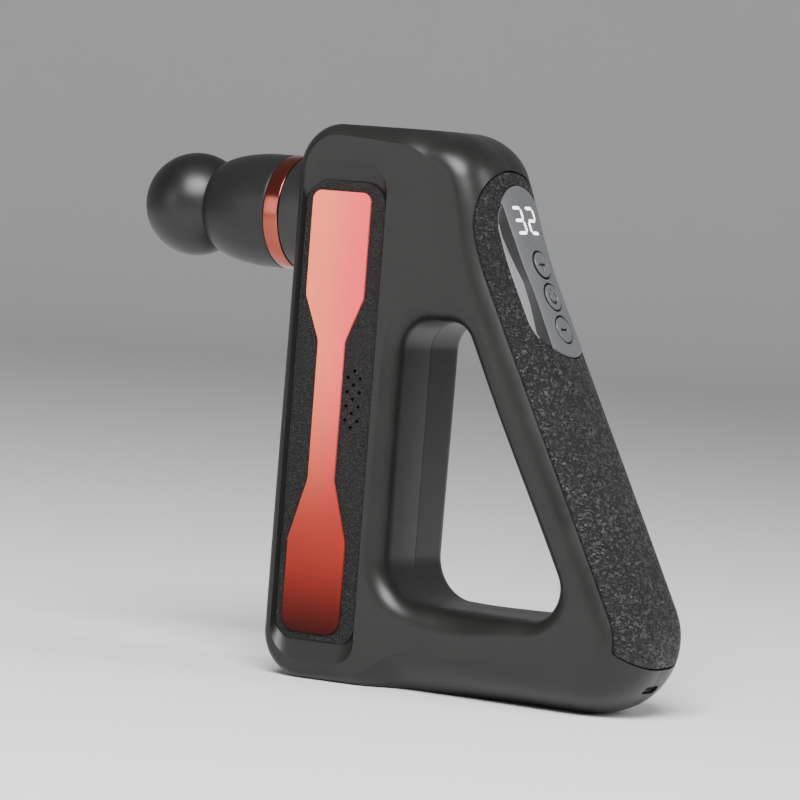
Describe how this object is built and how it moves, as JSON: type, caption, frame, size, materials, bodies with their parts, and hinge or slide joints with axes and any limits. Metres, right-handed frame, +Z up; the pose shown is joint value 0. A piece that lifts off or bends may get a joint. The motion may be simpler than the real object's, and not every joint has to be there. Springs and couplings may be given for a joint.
{
  "type": "massage gun",
  "caption": "Percussion massage gun: triangular loop body with a hand opening, slanted grip with display and buttons, ball head on a crank-driven piston.",
  "frame": {"origin": "centre of the flat base that the gun stands on, on the plane where the two half shells meet", "axes": "+Z up from the base, the ball head points along -X, the slanted grip and its controls face +X, and Y runs across the gun's thickness"},
  "size_m": [0.2506, 0.054, 0.22],
  "materials": {
    "shell_black": "fine satin",
    "leather_black": "grained",
    "trim_red": "polished coral gradient",
    "ring_copper": "polished",
    "panel_grey": "satin gloss",
    "digit_white": "lit",
    "button_grey": "satin",
    "head_black": "soft matte",
    "nose_black": "matte",
    "steel": "ground",
    "bronze": "sintered",
    "alloy": "cast",
    "lamination": "stacked",
    "copper_wire": "enamelled",
    "black_rubber": "matte",
    "cell_blue": "shrink sleeve",
    "holder_black": "moulded",
    "board_green": "solder mask"
  },
  "bodies": {
    "housing": {"shell_right": "shell_black", "shell_left": "shell_black", "side_inlay_right": "leather_black", "side_inlay_left": "leather_black", "trim_plate_right": "trim_red", "trim_plate_left": "trim_red", "rear_grip": "leather_black", "control_panel": "panel_grey", "display_digits": "digit_white", "display_module": "holder_black", "key_board": "board_green", "neck_collar": "nose_black", "trim_ring": "ring_copper", "nose_cone": "nose_black", "guide_bush": "bronze", "motor_bracket": "alloy", "motor_stator": "lamination", "motor_windings": "copper_wire", "motor_bearings": "steel", "damper_grommets": "black_rubber", "bracket_screws": "steel", "battery_cells": "cell_blue", "battery_holder": "holder_black", "main_board": "board_green", "charging_socket": "steel", "shell_screws": "steel"},
    "piston": {"piston": "steel", "wrist_pin": "steel"},
    "rod": {"connecting_rod": "alloy", "rod_bearing": "steel"},
    "head": {"head_ball": "head_black", "head_stem": "nose_black", "stem_o_rings": "black_rubber"},
    "crank": {"motor_rotor": "lamination", "motor_shaft": "steel", "crank_disc": "steel", "crank_pin": "steel"},
    "plus_key": {"button_plus": "button_grey"},
    "power_key": {"button_power": "button_grey"},
    "minus_key": {"button_minus": "button_grey"}
  },
  "joints": [
    {"name": "piston_stroke", "type": "slide", "parent": "housing", "child": "piston", "axis": [-1, 0, 0], "range_m": [0, 0.01]},
    {"name": "head_pull", "type": "slide", "parent": "piston", "child": "head", "axis": [-1, 0, 0], "range_m": [0, 0.024]},
    {"name": "rod_swing", "type": "hinge", "parent": "piston", "child": "rod", "pos_m": [-0.053, 0, 0.1835], "axis": [0, 1, 0], "range_deg": [-9.6, 9.6]},
    {"name": "crank_spin", "type": "hinge", "parent": "housing", "child": "crank", "pos_m": [-0.028, 0, 0.1835], "axis": [0, 1, 0], "continuous": true},
    {"name": "plus_press", "type": "slide", "parent": "housing", "child": "plus_key", "axis": [-0.9001, 0, -0.4357], "range_m": [0, 0.0008], "stiffness_N_per_m": 900},
    {"name": "power_press", "type": "slide", "parent": "housing", "child": "power_key", "axis": [-0.9001, 0, -0.4357], "range_m": [0, 0.0008], "stiffness_N_per_m": 900},
    {"name": "minus_press", "type": "slide", "parent": "housing", "child": "minus_key", "axis": [-0.9001, 0, -0.4357], "range_m": [0, 0.0008], "stiffness_N_per_m": 900}
  ]
}
